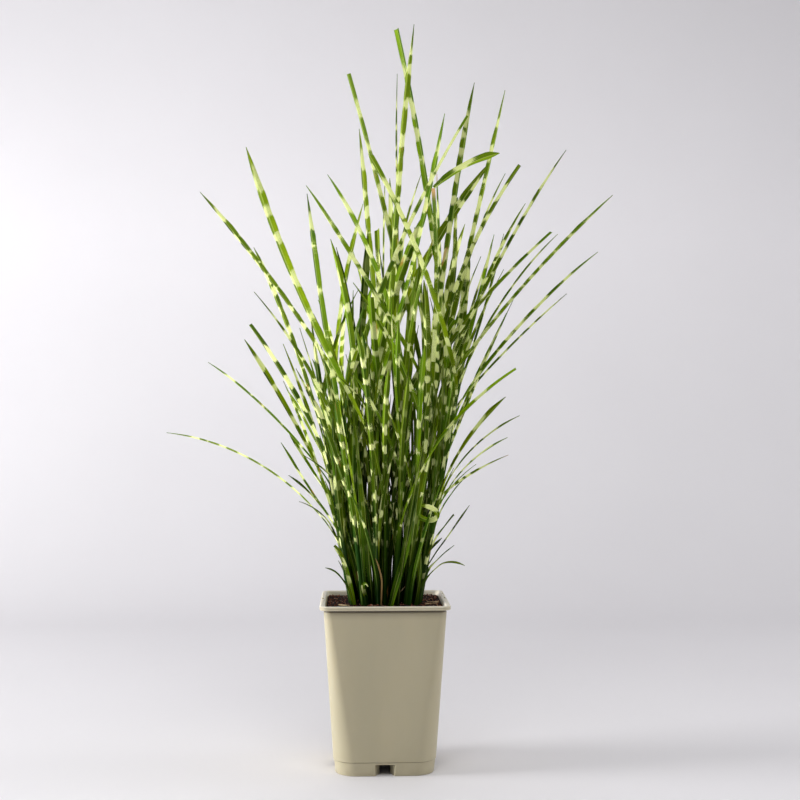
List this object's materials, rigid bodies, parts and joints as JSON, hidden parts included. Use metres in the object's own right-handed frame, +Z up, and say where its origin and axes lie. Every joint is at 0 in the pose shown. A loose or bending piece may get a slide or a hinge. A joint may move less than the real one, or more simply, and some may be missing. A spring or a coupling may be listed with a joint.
{
  "type": "potted ornamental grass",
  "caption": "Upright clump of cream-banded ornamental grass, long narrow leaves arching out from close-packed shoots, in a square tapered nursery pot of taupe plastic.",
  "frame": {"origin": "on the ground under the middle of the pot, which is also the middle of the whole plant's box", "axes": "+Z up along the clump; -Y towards the picture's front side of the pot; +X to the right as seen from the front"},
  "size_m": [0.5694, 0.4158, 0.8954],
  "materials": {
    "pot_plastic": "injection-moulded taupe polypropylene, satin, slightly translucent at the rim",
    "compost": "dark lumpy bark and peat compost",
    "leaf": "satin grass leaf, green with irregular cream cross bands and a pale midrib",
    "straw": "dry matt straw"
  },
  "bodies": {
    "root": {"pot": "pot_plastic", "soil": "compost", "shoot_01": "leaf", "shoot_02": "leaf", "shoot_03": "leaf", "shoot_04": "leaf", "shoot_05": "leaf", "shoot_06": "leaf", "shoot_07": "leaf", "shoot_08": "leaf", "shoot_09": "leaf", "shoot_10": "leaf", "shoot_11": "leaf", "shoot_12": "leaf", "shoot_13": "leaf", "shoot_14": "leaf", "shoot_15": "leaf", "shoot_16": "leaf", "shoot_17": "leaf", "shoot_18": "leaf", "shoot_19": "leaf", "shoot_20": "leaf", "shoot_21": "leaf", "shoot_22": "leaf", "shoot_23": "leaf", "shoot_24": "leaf", "shoot_25": "leaf", "shoot_26": "leaf", "dead_stem": "straw", "straw_1": "straw", "straw_2": "straw", "straw_3": "straw"}
  },
  "joints": []
}
